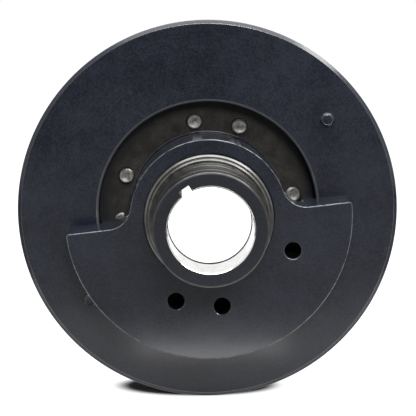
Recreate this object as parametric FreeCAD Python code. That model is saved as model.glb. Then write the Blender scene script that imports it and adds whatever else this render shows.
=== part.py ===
import FreeCAD
import Part
import math
import os

# Crankshaft belt pulley with a keyed hub snout, a half-moon counterweight and a damper ring.
# Millimetres. The shaft axis is Y, the engine side is -Y, the belt side is +Y, and Z is up.
# The origin is the middle of the keyed bore.

# Places along the shaft axis
snout_end = -15.0
bore_land_end = 14.5
disc_face = 53.6
weight_face = disc_face - 27.4
weight_back = disc_face - 0.6
recess_floor = disc_face + 14.5
flange_back = disc_face + 24.0
web_back = disc_face + 30.0
pulley_back = disc_face + 40.0

# Hub
bore_radius = 21.3
bore_chamfer = 0.5
keyway_width = 6.0
keyway_floor_radius = 24.45
keyway_angle = 123.2
bolt_room_radius = 24.6
throat_radius = 27.5
hub_room_radius = 33.0
lead_in_radius = 28.55
seal_radius = 28.7
shoulder_radius = 29.0
mark_groove_depth = 0.4
mark_groove_width = 1.0
second_collar_radius = 31.3
first_collar_radius = 32.95
root_radius = 36.8
flange_radius = 57.4
spigot_radius = 36.0
spigot_height = 4.0

# Counterweight
weight_radius = 73.6
weight_pad_radius = 57.1
weight_tilt = 6.5
ring_radius = 40.5
ring_foot_radius = 41.3
ring_foot_height = 3.0
ring_corner_radius = 12.5
weight_edge_chamfer = 0.6
weight_corner_radius = 1.6
weight_hole_radius = 4.4
weight_thread_start = disc_face - 8.0
screw_relief_radius = 6.1
right_pocket_depth = 24.0
left_pocket_depth = 4.0

# Screws and washers
screw_circle_radius = 46.3
screw_pair_middle_angles = [-6.5, 83.5, 173.5, 263.5]
screw_pair_half_angle = 15.0
screw_radius = 3.95
thread_hole_radius = 4.0
clearance_hole_radius = 4.5
screw_length = 20.0
weight_screw_length = 35.0
screw_point_chamfer = 0.6
screw_head_flats = 13.0
screw_head_height = 5.3
washer_radius = 8.0
washer_hole_radius = 4.2
washer_thickness = 1.6

# Belt ring, damper housing and cover
disc_radius = 100.0
edge_bevel_width = 1.9
edge_bevel_depth = 1.4
cover_thickness = 3.0
recess_radius = 57.5
recess_lip_radius = 2.0
rim_radius = 98.5
rim_edge = 0.8
groove_middles = [12.5, 27.5]
groove_top_width = 13.0
groove_depth = 12.5
groove_half_angle = 18.0
chamber_inner_radius = 63.0
chamber_outer_radius = 82.0
housing_outer_radius = 84.0
chamber_back = disc_face + 34.0
dish_radius = 57.0
back_wall = disc_face + 38.0
rim_step_radius = 86.0

# Damper inside the pulley body
bush_outer_radius = 65.0
bush_length = 29.0
ring_bore_radius = 65.06
ring_outer_radius = 81.4
ring_side_gap = 0.6
slide_ring_inner_radius = 68.0
slide_ring_outer_radius = 76.0
slide_ring_thickness = 1.2
slide_ring_gap = 0.15

# Fill plugs
plug_circle_radius = 78.8
plug_angles = [37.5, 217.5]
plug_shank_radius = 2.5
plug_head_radius = 3.65
plug_top_radius = 2.65
plug_rim_height = 0.5
plug_height = 1.5

fit_gap = 0.05


def turned(points):
    """Turn a closed outline of (radius, y) points round the shaft axis."""
    corners = [FreeCAD.Vector(radius, y, 0) for radius, y in points]
    corners.append(corners[0])
    face = Part.Face(Part.makePolygon(corners))
    return face.revolve(FreeCAD.Vector(0, 0, 0), FreeCAD.Vector(0, 1, 0), 360)


def rod(radius, start, end, x=0.0, z=0.0):
    """A cylinder parallel to the shaft axis between two places along it."""
    base = FreeCAD.Vector(x, start, z)
    return Part.makeCylinder(radius, end - start, base, FreeCAD.Vector(0, 1, 0))


def on_circle(radius, angle):
    """The (x, z) point at an angle counted from +X towards +Z."""
    turn = math.radians(angle)
    return radius * math.cos(turn), radius * math.sin(turn)


def turn_about_shaft(shape, angle):
    """Turn a shape about the shaft axis, from +X towards +Z."""
    moved = shape.copy()
    moved.rotate(FreeCAD.Vector(0, 0, 0), FreeCAD.Vector(0, -1, 0), angle)
    return moved


def ring_edges(shape, radius, y):
    """The round edges of a shape that have this radius and lie at this place along the shaft."""
    found = []
    for edge in shape.Edges:
        curve = edge.Curve
        if not isinstance(curve, Part.Circle):
            continue
        if abs(curve.Radius - radius) < 0.01 and abs(curve.Center.y - y) < 0.01:
            found.append(edge)
    return found


def screw_angles():
    """Angles of the eight screws: four pairs, a quarter turn apart."""
    angles = []
    for middle in screw_pair_middle_angles:
        angles.append((middle - screw_pair_half_angle) % 360)
        angles.append((middle + screw_pair_half_angle) % 360)
    return sorted(angles)


# Screws that stand in the open half of the recess, and those that hold the counterweight
open_angles = [68.5, 98.5, 158.5]
right_pocket_angle = 8.5
left_pocket_angle = 188.5
weight_angles = [248.5, 278.5, 338.5]


def make_hub():
    """Snout with seal band and collars, tube, flange and spigot, with the keyed bore."""
    groove_one = disc_face - 57.5
    groove_two = disc_face - 41.0
    second_collar_start = disc_face - 34.5
    first_collar_start = disc_face - 31.5
    root_start = disc_face - 5.0
    groove_radius = seal_radius - mark_groove_depth
    outline = [
        (bore_radius + bore_chamfer, snout_end),
        (lead_in_radius - 0.9, snout_end),
        (lead_in_radius, snout_end + 0.9),
        (lead_in_radius, groove_one - mark_groove_width),
        (groove_radius, groove_one - mark_groove_width),
        (groove_radius, groove_one),
        (seal_radius, groove_one),
        (seal_radius, groove_two),
        (groove_radius, groove_two),
        (groove_radius, groove_two + mark_groove_width),
        (shoulder_radius, groove_two + mark_groove_width),
        (shoulder_radius, second_collar_start),
        (second_collar_radius - 0.8, second_collar_start),
        (second_collar_radius, second_collar_start + 0.8),
        (second_collar_radius, first_collar_start),
        (first_collar_radius - 0.8, first_collar_start),
        (first_collar_radius, first_collar_start + 0.8),
        (first_collar_radius, root_start),
        (root_radius, root_start),
        (root_radius, recess_floor),
        (flange_radius, recess_floor),
        (flange_radius, flange_back),
        (spigot_radius, flange_back),
        (spigot_radius, flange_back + spigot_height - 0.5),
        (spigot_radius - 0.5, flange_back + spigot_height),
        (hub_room_radius, flange_back + spigot_height),
        (hub_room_radius, disc_face),
        (throat_radius, disc_face - 1.5),
        (throat_radius, disc_face - 31.0),
        (bolt_room_radius, disc_face - 33.0),
        (bolt_room_radius, bore_land_end),
        (bore_radius, bore_land_end),
        (bore_radius, snout_end + bore_chamfer),
    ]
    hub = turned(outline)
    keyway = Part.makeBox(
        keyway_floor_radius,
        bore_land_end - snout_end + 2.0,
        keyway_width,
        FreeCAD.Vector(0, snout_end - 1.0, -keyway_width / 2),
    )
    hub = hub.cut(turn_about_shaft(keyway, keyway_angle))
    for angle in screw_angles():
        x, z = on_circle(screw_circle_radius, angle)
        hub = hub.cut(rod(thread_hole_radius, recess_floor - 1, flange_back + 1, x, z))
    return hub


def weight_outline(outer_radius, neck_radius, corner_radius, start, end):
    """Half-moon joined to a ring by two round inner corners, with its straight edge along X."""
    reach = math.sqrt((neck_radius + corner_radius) ** 2 - corner_radius ** 2)
    touch = neck_radius / (neck_radius + corner_radius)
    touch_x = reach * touch
    touch_z = corner_radius * touch
    lean = math.atan2(corner_radius, reach)
    middle = (math.pi / 2 + lean) / 2
    mid_x = reach - corner_radius * math.sin(middle)
    mid_z = corner_radius - corner_radius * math.cos(middle)

    def at(x, z):
        return FreeCAD.Vector(x, start, z)

    edges = [
        Part.LineSegment(at(outer_radius, 0), at(reach, 0)).toShape(),
        Part.Arc(at(reach, 0), at(mid_x, mid_z), at(touch_x, touch_z)).toShape(),
        Part.Arc(at(touch_x, touch_z), at(0, neck_radius), at(-touch_x, touch_z)).toShape(),
        Part.Arc(at(-touch_x, touch_z), at(-mid_x, mid_z), at(-reach, 0)).toShape(),
        Part.LineSegment(at(-reach, 0), at(-outer_radius, 0)).toShape(),
        Part.Arc(at(-outer_radius, 0), at(0, -outer_radius), at(outer_radius, 0)).toShape(),
    ]
    face = Part.Face(Part.Wire(edges))
    return face.extrude(FreeCAD.Vector(0, end - start, 0))


def make_counterweight():
    """Half-moon plate and ring round the hub, with its pad on the recess floor and its holes."""
    plate = weight_outline(weight_radius, ring_radius, ring_corner_radius, weight_face, weight_back)
    tips = []
    for edge in plate.Edges:
        ends = [vertex.Point for vertex in edge.Vertexes]
        if len(ends) != 2 or abs(ends[0].y - ends[1].y) < 0.01:
            continue
        if all(abs(abs(end.x) - weight_radius) < 0.01 for end in ends):
            tips.append(edge)
    plate = plate.makeFillet(weight_corner_radius, tips)
    front_edges = []
    for edge in plate.Edges:
        if all(abs(vertex.Point.y - weight_face) < 0.001 for vertex in edge.Vertexes):
            front_edges.append(edge)
    plate = plate.makeChamfer(weight_edge_chamfer, front_edges)
    pad = weight_outline(
        weight_pad_radius, ring_radius, ring_corner_radius, weight_back, recess_floor
    )
    foot = rod(ring_foot_radius, recess_floor - ring_foot_height, recess_floor)
    weight = plate.fuse(pad).fuse(foot).removeSplitter()
    weight = turn_about_shaft(weight, weight_tilt)
    front_bore = first_collar_radius + fit_gap
    root_step = disc_face - 5.0
    weight = weight.cut(turned([
        (0, weight_face - 1),
        (front_bore + 1.5, weight_face - 1),
        (front_bore, weight_face + 0.5),
        (front_bore, root_step),
        (root_radius + fit_gap, root_step),
        (root_radius + fit_gap, recess_floor + 1),
        (0, recess_floor + 1),
    ]))
    for angle in weight_angles:
        x, z = on_circle(screw_circle_radius, angle)
        weight = weight.cut(rod(weight_hole_radius, weight_face - 1, weight_thread_start, x, z))
        weight = weight.cut(rod(thread_hole_radius, weight_face, recess_floor + 1, x, z))
    pockets = [(right_pocket_angle, right_pocket_depth), (left_pocket_angle, left_pocket_depth)]
    for angle, depth in pockets:
        x, z = on_circle(screw_circle_radius, angle)
        weight = weight.cut(rod(weight_hole_radius, recess_floor - depth, recess_floor + 1, x, z))
    for angle in open_angles:
        x, z = on_circle(screw_circle_radius, angle)
        weight = weight.cut(rod(screw_relief_radius, weight_face - 1, recess_floor + 1, x, z))
    return weight


def make_cover():
    """Flat ring that is the engine-side face, with a bevelled edge and a rounded lip."""
    cover_back = disc_face + cover_thickness
    cover = turned([
        (recess_radius, disc_face),
        (disc_radius - edge_bevel_width, disc_face),
        (disc_radius, disc_face + edge_bevel_depth),
        (disc_radius, cover_back - 0.3),
        (disc_radius - 0.3, cover_back),
        (recess_radius, cover_back),
    ])
    cover = cover.makeFillet(recess_lip_radius, ring_edges(cover, recess_radius, disc_face))
    for angle in plug_angles:
        x, z = on_circle(plug_circle_radius, angle)
        hole = rod(plug_shank_radius + fit_gap, disc_face - 1, cover_back + 1, x, z)
        cover = cover.cut(hole)
    return cover


def make_belt_pulley():
    """Outer ring with two V-grooves, shrunk on to the damper housing."""
    front = disc_face + cover_thickness
    bottom_width = groove_top_width - 2 * groove_depth * math.tan(math.radians(groove_half_angle))
    outline = [
        (housing_outer_radius + fit_gap, front),
        (rim_radius, front),
    ]
    for middle in groove_middles:
        centre = disc_face + middle
        outline.append((rim_radius, centre - groove_top_width / 2))
        outline.append((rim_radius - groove_depth, centre - bottom_width / 2))
        outline.append((rim_radius - groove_depth, centre + bottom_width / 2))
        outline.append((rim_radius, centre + groove_top_width / 2))
    outline.extend([
        (rim_radius, pulley_back - rim_edge),
        (rim_radius - rim_edge, pulley_back),
        (rim_step_radius, pulley_back),
        (rim_step_radius - 1.0, back_wall),
        (housing_outer_radius + fit_gap, back_wall),
    ])
    return turned(outline)


def make_damper_housing():
    """Ring-shaped trough that holds the damper, with a shoulder for the web plate."""
    front = disc_face + cover_thickness
    return turned([
        (recess_radius, front),
        (chamber_inner_radius, front),
        (chamber_inner_radius, chamber_back),
        (chamber_outer_radius, chamber_back),
        (chamber_outer_radius, front),
        (housing_outer_radius, front),
        (housing_outer_radius, back_wall),
        (dish_radius + 1.0, back_wall),
        (dish_radius, back_wall - 1.0),
        (dish_radius, web_back),
        (recess_radius, web_back),
    ])


def make_web_plate():
    """Flat plate pressed into the damper housing and bolted to the hub's flange."""
    plate = turned([
        (spigot_radius + fit_gap, flange_back),
        (recess_radius - fit_gap, flange_back),
        (recess_radius - fit_gap, web_back),
        (spigot_radius + fit_gap, web_back),
    ])
    for angle in screw_angles():
        x, z = on_circle(screw_circle_radius, angle)
        plate = plate.cut(rod(clearance_hole_radius, flange_back - 1, web_back + 1, x, z))
    return plate


def make_screw(angle):
    """Hexagon screw along the shaft, head on the belt side, dished point to the engine."""
    x, z = on_circle(screw_circle_radius, angle)
    seat = web_back + washer_thickness
    length = weight_screw_length if angle in weight_angles else screw_length
    tip = seat - length
    shank = turned([
        (0, tip + 0.5),
        (screw_radius - screw_point_chamfer - 0.7, tip),
        (screw_radius - screw_point_chamfer, tip),
        (screw_radius, tip + screw_point_chamfer),
        (screw_radius, seat + 1.0),
        (0, seat + 1.0),
    ])
    corner = screw_head_flats / math.sqrt(3)
    points = []
    for index in range(7):
        turn = math.radians(60 * index)
        points.append(FreeCAD.Vector(corner * math.cos(turn), seat, corner * math.sin(turn)))
    hexagon = Part.Face(Part.makePolygon(points))
    hexagon = hexagon.extrude(FreeCAD.Vector(0, screw_head_height, 0))
    head_top = seat + screw_head_height
    dome = turned([
        (0, seat),
        (corner + 0.1, seat),
        (corner + 0.1, head_top - 0.7),
        (corner - 1.2, head_top),
        (0, head_top),
    ])
    screw = hexagon.common(dome).fuse(shank).removeSplitter()
    screw = turn_about_shaft(screw, angle)
    screw.translate(FreeCAD.Vector(x, 0, z))
    return screw


def make_washer(angle):
    """Flat washer on the web under one screw head."""
    x, z = on_circle(screw_circle_radius, angle)
    washer = turned([
        (washer_hole_radius, web_back),
        (washer_radius, web_back),
        (washer_radius, web_back + washer_thickness - 0.3),
        (washer_radius - 0.3, web_back + washer_thickness),
        (washer_hole_radius, web_back + washer_thickness),
    ])
    washer.translate(FreeCAD.Vector(x, 0, z))
    return washer


def make_fill_plug(angle):
    """Raised button with a sloping side, its shank closing a hole through the cover."""
    x, z = on_circle(plug_circle_radius, angle)
    plug = turned([
        (0, disc_face - plug_height),
        (plug_top_radius, disc_face - plug_height),
        (plug_head_radius, disc_face - plug_rim_height),
        (plug_head_radius, disc_face),
        (plug_shank_radius, disc_face),
        (plug_shank_radius, disc_face + cover_thickness),
        (0, disc_face + cover_thickness),
    ])
    plug.translate(FreeCAD.Vector(x, 0, z))
    return plug


def make_slide_bush():
    """Thin bush on the inner wall of the trough."""
    return turned([
        (chamber_inner_radius + fit_gap, chamber_back - bush_length),
        (bush_outer_radius, chamber_back - bush_length),
        (bush_outer_radius, chamber_back),
        (chamber_inner_radius + fit_gap, chamber_back),
    ])


def make_inertia_ring():
    """Heavy ring that turns on the bush, with a shallow seat for a slide ring on each side."""
    front = disc_face + cover_thickness + ring_side_gap
    back = chamber_back - ring_side_gap
    seat_depth = slide_ring_thickness - (ring_side_gap - slide_ring_gap)
    inner = slide_ring_inner_radius - fit_gap
    outer = slide_ring_outer_radius + fit_gap
    return turned([
        (ring_bore_radius, front),
        (inner, front),
        (inner, front + seat_depth),
        (outer, front + seat_depth),
        (outer, front),
        (ring_outer_radius, front),
        (ring_outer_radius, back),
        (outer, back),
        (outer, back - seat_depth),
        (inner, back - seat_depth),
        (inner, back),
        (ring_bore_radius, back),
    ])


def make_slide_ring(start):
    """Thin flat ring that keeps the heavy ring off a side wall."""
    return turned([
        (slide_ring_inner_radius, start),
        (slide_ring_outer_radius, start),
        (slide_ring_outer_radius, start + slide_ring_thickness),
        (slide_ring_inner_radius, start + slide_ring_thickness),
    ])


def main():
    """Make every piece and write one file for each."""
    front_slide = disc_face + cover_thickness + slide_ring_gap
    rear_slide = chamber_back - slide_ring_gap - slide_ring_thickness
    pieces = {
        "hub": make_hub(),
        "counterweight": make_counterweight(),
        "damper_cover": make_cover(),
        "belt_pulley": make_belt_pulley(),
        "damper_housing": make_damper_housing(),
        "web_plate": make_web_plate(),
        "slide_bush": make_slide_bush(),
        "inertia_ring": make_inertia_ring(),
        "thrust_ring_front": make_slide_ring(front_slide),
        "thrust_ring_rear": make_slide_ring(rear_slide),
    }
    for number, angle in enumerate(screw_angles(), start=1):
        pieces["screw_%d" % number] = make_screw(angle)
        pieces["washer_%d" % number] = make_washer(angle)
    for number, angle in enumerate(plug_angles, start=1):
        pieces["fill_plug_%d" % number] = make_fill_plug(angle)
    os.makedirs("parts", exist_ok=True)
    for name, shape in pieces.items():
        shape.exportStep("parts/%s.step" % name)
        print(name, shape.ShapeType, len(shape.Solids), shape.isValid(), round(shape.Volume, 1))


main()
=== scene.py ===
"""Looks of an engine's belt pulley: hub, counterweight, disc cover, belt rim, screws and damper.

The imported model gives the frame. Lengths are written in millimetres and meshes are made in metres,
with the shaft along Y, the engine side at -Y and Z up.
"""

import logging
import math
from dataclasses import dataclass, field
from enum import Enum
from typing import Callable, Optional, Sequence, Union

import bmesh
import bpy
from bmesh.types import BMesh, BMVert
from bpy.types import Material, Node, NodeSocket, NodeTree, Object
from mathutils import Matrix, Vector


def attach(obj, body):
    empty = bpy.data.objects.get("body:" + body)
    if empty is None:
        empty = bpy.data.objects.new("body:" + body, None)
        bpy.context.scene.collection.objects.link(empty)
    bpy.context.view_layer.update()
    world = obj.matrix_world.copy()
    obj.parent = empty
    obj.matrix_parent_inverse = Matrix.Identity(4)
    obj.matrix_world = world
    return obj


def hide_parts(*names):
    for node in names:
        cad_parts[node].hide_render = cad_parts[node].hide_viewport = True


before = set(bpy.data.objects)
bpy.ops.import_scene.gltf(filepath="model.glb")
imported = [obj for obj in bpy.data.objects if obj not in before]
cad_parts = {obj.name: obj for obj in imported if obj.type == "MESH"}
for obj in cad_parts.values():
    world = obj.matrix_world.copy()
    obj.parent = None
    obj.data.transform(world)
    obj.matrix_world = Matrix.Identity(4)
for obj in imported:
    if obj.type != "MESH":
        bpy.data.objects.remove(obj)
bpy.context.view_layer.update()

log = logging.getLogger("belt_pulley")

MM = 0.001
BODY = "pulley"
PLUG_CIRCLE = 78.8
PLUG_ANGLES = (37.5, 217.5)

Colour = tuple[float, float, float]
Flat = tuple[float, float]
Corner = tuple[float, float, float]
Loop = list[tuple[float, float, float, float]]


class Slot(Enum):
    """Names of material slots that go with the pieces; they are not read here."""

    BARE_STEEL = "bare_steel"
    BLACK_PAINT = "black_paint"
    SCREW_STEEL = "screw_steel"


class Number:
    """A number or colour in a shader tree that takes Python's operators."""

    def __init__(self, graph: "Graph", socket: NodeSocket) -> None:
        """Hold one output socket of a tree.

        Args:
            graph: The tree the socket belongs to.
            socket: The output socket.
        """
        self.graph = graph
        self.socket = socket

    def _sum(self, operation: str, left: "Operand", right: "Operand") -> "Number":
        """Add one Math node and return its result."""
        return self.graph.add("ShaderNodeMath", {"operation": operation}, {0: left, 1: right})

    def __add__(self, other: "Operand") -> "Number":
        """self + other."""
        return self._sum("ADD", self, other)

    def __sub__(self, other: "Operand") -> "Number":
        """self - other."""
        return self._sum("SUBTRACT", self, other)

    def __rsub__(self, other: "Operand") -> "Number":
        """other - self."""
        return self._sum("SUBTRACT", other, self)

    def __mul__(self, other: "Operand") -> "Number":
        """self * other."""
        return self._sum("MULTIPLY", self, other)

    def __truediv__(self, other: "Operand") -> "Number":
        """self / other."""
        return self._sum("DIVIDE", self, other)

    def __pow__(self, other: "Operand") -> "Number":
        """self to the power of other."""
        return self._sum("POWER", self, other)

    def at_most(self, other: "Operand") -> "Number":
        """The smaller of the two."""
        return self._sum("MINIMUM", self, other)

    def step(self, low: float, high: float) -> "Number":
        """A soft step from 0 at low to 1 at high; it falls where low is the larger."""
        return self.graph.add(
            "ShaderNodeMapRange",
            {"interpolation_type": "SMOOTHSTEP", "clamp": True},
            {0: self, 1: low, 2: high, 3: 0.0, 4: 1.0},
        )


Operand = Union[Number, float, int]
Input = Union[Number, float, int, tuple, NodeSocket]


class Graph:
    """A node tree that is filled from Python."""

    def __init__(self, tree: NodeTree) -> None:
        """Take an empty node tree.

        Args:
            tree: The tree that the nodes go into.
        """
        self.tree = tree

    def node(
        self, kind: str, settings: Optional[dict] = None, inputs: Optional[dict] = None
    ) -> Node:
        """Add a node, set it up and join or fill its sockets.

        Args:
            kind: The node's type.
            settings: Properties that are set first.
            inputs: Values or links by socket index or name.

        Returns:
            The new node.
        """
        made = self.tree.nodes.new(kind)
        for name, value in (settings or {}).items():
            setattr(made, name, value)
        for key, value in (inputs or {}).items():
            socket = made.inputs[key]
            if isinstance(value, Number):
                self.tree.links.new(value.socket, socket)
            elif isinstance(value, NodeSocket):
                self.tree.links.new(value, socket)
            else:
                socket.default_value = value
        return made

    def add(
        self,
        kind: str,
        settings: Optional[dict] = None,
        inputs: Optional[dict] = None,
        output: Union[int, str] = 0,
    ) -> Number:
        """Add a node and return one of its outputs.

        Args:
            kind: The node's type.
            settings: Properties that are set first.
            inputs: Values or links by socket index or name.
            output: Index or name of the output.

        Returns:
            The output as a number.
        """
        return Number(self, self.node(kind, settings, inputs).outputs[output])

    def blend(self, share: Operand, first: Input, second: Input) -> Number:
        """Mix two colours.

        Args:
            share: 0 for the first colour and 1 for the second.
            first: The first colour.
            second: The second colour.

        Returns:
            The mixed colour.
        """
        pair = (first, second)
        colours = [c + (1.0,) if isinstance(c, tuple) and len(c) == 3 else c for c in pair]
        return self.add(
            "ShaderNodeMix",
            {"data_type": "RGBA", "clamp_factor": True},
            {0: share, 6: colours[0], 7: colours[1]},
            2,
        )

    def place(self) -> Number:
        """The point's place on the object, in metres."""
        return self.add("ShaderNodeTexCoord", output="Object")

    def parts(self, vector: Number) -> tuple[Number, Number, Number]:
        """The three parts of a vector."""
        made = self.node("ShaderNodeSeparateXYZ", inputs={0: vector})
        return tuple(Number(self, socket) for socket in made.outputs)

    def mark(self, name: str) -> Number:
        """A number stored on the mesh under this name."""
        return self.add("ShaderNodeAttribute", {"attribute_name": name}, output="Fac")

    def noise(self, where: Number, size: float, detail: float = 2.0, rough: float = 0.5) -> Number:
        """Cloudy noise.

        Args:
            where: The vector that it reads.
            size: Size of a patch in millimetres.
            detail: Number of finer layers.
            rough: Strength of the finer layers.

        Returns:
            A number from 0 to 1.
        """
        return self.add(
            "ShaderNodeTexNoise",
            {"noise_dimensions": "3D"},
            {"Vector": where, "Scale": 1.0 / (size * MM), "Detail": detail, "Roughness": rough},
        )

    def lines(self, along: Number, pitch: float, detail: float = 2.0) -> Number:
        """Noise along one number, as tool marks are.

        Args:
            along: The number, in metres.
            pitch: Distance between marks in millimetres.
            detail: Number of finer layers.

        Returns:
            A number from 0 to 1.
        """
        return self.add(
            "ShaderNodeTexNoise",
            {"noise_dimensions": "1D"},
            {"W": along, "Scale": 1.0 / (pitch * MM), "Detail": detail, "Roughness": 0.6},
        )

    def specks(self, where: Number, size: float, share: float) -> Number:
        """Small round specks.

        Args:
            where: The vector that it reads.
            size: Distance between specks in millimetres.
            share: Radius of a speck as a share of that distance.

        Returns:
            1 in a speck and 0 outside.
        """
        distance = self.add(
            "ShaderNodeTexVoronoi",
            {"feature": "F1"},
            {"Vector": where, "Scale": 1.0 / (size * MM), "Randomness": 1.0},
            "Distance",
        )
        return distance.step(share, share * 0.4)

    def stretched(self, where: Number, x: float, y: float, z: float) -> Number:
        """The place with each axis scaled."""
        return self.add(
            "ShaderNodeVectorMath", {"operation": "MULTIPLY"}, {0: where, 1: (x, y, z)}
        )

    def bump(self, height: Number, depth: float, strength: float = 1.0) -> Number:
        """A normal from a height.

        Args:
            height: The height from 0 to 1.
            depth: What 1 stands for, in millimetres.
            strength: How much of it shows.

        Returns:
            The bent normal.
        """
        return self.add(
            "ShaderNodeBump",
            inputs={"Strength": strength, "Distance": depth * MM, "Height": height},
        )


def empty_material(name: str) -> tuple[Material, Graph]:
    """Make a material with an empty tree.

    Args:
        name: Name of the material.

    Returns:
        The material and its graph.
    """
    material = bpy.data.materials.new(name)
    material.use_nodes = True
    material.node_tree.nodes.clear()
    return material, Graph(material.node_tree)


@dataclass(frozen=True)
class Finish:
    """What all finishes share: a name and a principled shader."""

    name: str

    def build(self) -> Material:
        """Make the material.

        Returns:
            The finished material.
        """
        material, graph = empty_material(self.name)
        shader = graph.node("ShaderNodeBsdfPrincipled")
        self.dress(graph, shader)
        graph.node("ShaderNodeOutputMaterial", inputs={0: shader.outputs[0]})
        return material

    def dress(self, graph: Graph, shader: Node) -> None:
        """Fill the shader's sockets.

        Args:
            graph: The material's tree.
            shader: The principled shader.
        """
        raise NotImplementedError

    @staticmethod
    def feed(graph: Graph, shader: Node, inputs: dict) -> None:
        """Set or link sockets of the shader by name."""
        for name, value in inputs.items():
            if isinstance(value, Number):
                graph.tree.links.new(value.socket, shader.inputs[name])
            else:
                shader.inputs[name].default_value = value


@dataclass(frozen=True)
class BlackCoat(Finish):
    """Thin satin black coat over turned steel, worn through along its edges, with painted shade
    inside the counterweight's holes and a painted highlight round their mouths.
    """

    dark: Colour = (0.0085, 0.0105, 0.0165)
    light: Colour = (0.0280, 0.0325, 0.0470)
    dust: Colour = (0.085, 0.080, 0.074)
    worn: Colour = (0.30, 0.31, 0.33)
    # Painted shade: the near black that fills the counterweight's holes.
    painted_hole_shade: Colour = (0.0012, 0.0012, 0.0012)
    roughness: float = 0.20
    dust_share: float = 0.12
    wear: float = 0.8
    wear_gap: float = 0.30
    holes: tuple[Flat, ...] = ()
    hole_radius: float = 4.6
    plate_front: float = 26.2

    def dress(self, graph: Graph, shader: Node) -> None:
        """Fill the shader's sockets."""
        where = graph.place()
        x, y, z = graph.parts(where)
        radius = (x * x + z * z) ** 0.5
        clouds = graph.noise(where, 22.0, 4.0, 0.6)
        grain = graph.noise(where, 1.0, 4.0, 0.75)
        marks = graph.lines(radius + y * 0.8, 0.5, 2.0)
        patches = graph.noise(where, 6.0, 3.0, 0.7)
        tone = clouds * 0.30 + grain * 0.55 + marks * 0.15
        coat = graph.blend(tone.step(0.34, 0.64), self.dark, self.light)
        dusty = patches.step(0.52, 0.78) * self.dust_share
        coat = graph.blend(dusty, coat, self.dust)
        coat = graph.blend(graph.specks(where, 4.2, 0.045) * 0.35, coat, self.dust)
        edge = graph.mark("edge")
        rubs = graph.noise(where, 3.0, 3.0, 0.7).step(self.wear_gap, self.wear_gap + 0.32)
        rubbed = (edge * self.wear * rubs).at_most(1.0)
        colour = graph.blend(rubbed, coat, self.worn)
        rough = (grain - 0.5) * 0.12 + (clouds - 0.5) * 0.10 + self.roughness
        for centre_x, centre_z in self.holes:
            aside, above = x - centre_x * MM, z - centre_z * MM
            reach = (aside * aside + above * above) ** 0.5
            # Painted shade: the wall inside each hole is painted near black, for the dark deep in
            # it.
            painted_hole_shade_mask = reach.step((self.hole_radius + 0.3) * MM, self.hole_radius * MM)
            painted_hole_shade_mask = painted_hole_shade_mask * y.step((self.plate_front + 0.4) * MM, (self.plate_front + 0.9) * MM)
            # Painted highlight: a thin light ring in the worn colour round each hole's mouth, for
            # the light on its small chamfer.
            painted_mouth_highlight = reach.step((self.hole_radius + 0.35) * MM, (self.hole_radius + 0.15) * MM)
            colour = graph.blend(painted_mouth_highlight * 0.2, colour, self.worn)
            colour = graph.blend(painted_hole_shade_mask, colour, self.painted_hole_shade)
            rough = rough + painted_hole_shade_mask * 0.5
        self.feed(graph, shader, {
            "Base Color": colour,
            "Metallic": rubbed * 0.9,
            "Roughness": rough - rubbed * 0.08,
            "Normal": graph.bump(grain * 0.6 + marks * 0.4, 0.012),
            "Specular IOR Level": 0.4,
        })


@dataclass(frozen=True)
class TurnedSteel(Finish):
    """Lathe-turned steel: polished in the bore, dull outside, black where the coat was left on, with
    painted shade on the recess floor towards the lip.
    """

    polished: Colour = (0.86, 0.855, 0.84)
    steel: Colour = (0.135, 0.133, 0.128)
    shade: Colour = (0.050, 0.049, 0.046)
    coat: Colour = (0.0075, 0.0090, 0.0130)
    coat_light: Colour = (0.0200, 0.0225, 0.0300)
    stain: Colour = (0.60, 0.59, 0.56)
    grime: Colour = (0.020, 0.0185, 0.0165)
    grime_light: Colour = (0.062, 0.057, 0.051)
    roughness: float = 0.30
    bore_roughness: float = 0.10
    grime_start: Flat = (34.0, 36.5)
    # Radii over which painted shade darkens the recess floor towards the lip.
    lip_shade_start: Flat = (48.0, 56.5)

    def dress(self, graph: Graph, shader: Node) -> None:
        """Fill the shader's sockets."""
        where = graph.place()
        x, y, z = graph.parts(where)
        radius = (x * x + z * z) ** 0.5
        marks = graph.lines(radius + y, 0.35, 3.0)
        bands = graph.lines(radius + y, 2.6, 2.0)
        smudge = graph.noise(graph.stretched(where, 1.0, 0.35, 1.0), 4.0, 4.0, 0.65)
        grain = graph.noise(where, 0.8, 4.0, 0.75)
        bare = graph.mark("bare")
        edge = graph.mark("edge")
        tone = (bands * 0.45 + smudge * 0.40 + marks * 0.15).step(0.34, 0.66)
        lining = graph.blend((smudge - 0.42) * 2.5, self.polished, self.stain)
        metal = graph.blend(bare.step(0.6, 0.9), graph.blend(tone, self.shade, self.steel), lining)
        black = graph.blend(grain.step(0.3, 0.7), self.coat, self.coat_light)
        caked = (graph.noise(where, 7.0, 4.0, 0.7) * 0.6 + grain * 0.4).step(0.34, 0.66)
        floor = graph.blend(caked, self.grime, self.grime_light)
        # Painted shade: the recess floor turns to the dark coat colour towards the lip, which shades
        # it.
        corner = radius.step(self.lip_shade_start[0] * MM, self.lip_shade_start[1] * MM)
        floor = graph.blend(corner * 0.8, floor, self.coat)
        outside = radius.step(self.grime_start[0] * MM, self.grime_start[1] * MM)
        black = graph.blend(outside, black, floor)
        rubbed = (edge * graph.noise(where, 2.5, 3.0, 0.7).step(0.25, 0.55)).at_most(1.0)
        shown = (bare.step(0.1, 0.4) + rubbed * 0.8).at_most(1.0)
        dull = (smudge - 0.5) * 0.22 + marks * 0.08 + self.roughness + (1.0 - shown) * 0.12
        self.feed(graph, shader, {
            "Base Color": graph.blend(shown, black, metal),
            "Metallic": shown,
            "Roughness": dull + bare.step(0.6, 0.9) * (self.bore_roughness - dull),
            "Normal": graph.bump(marks * 0.7 + grain * 0.3, 0.008),
            "Specular IOR Level": 0.25,
        })


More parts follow.
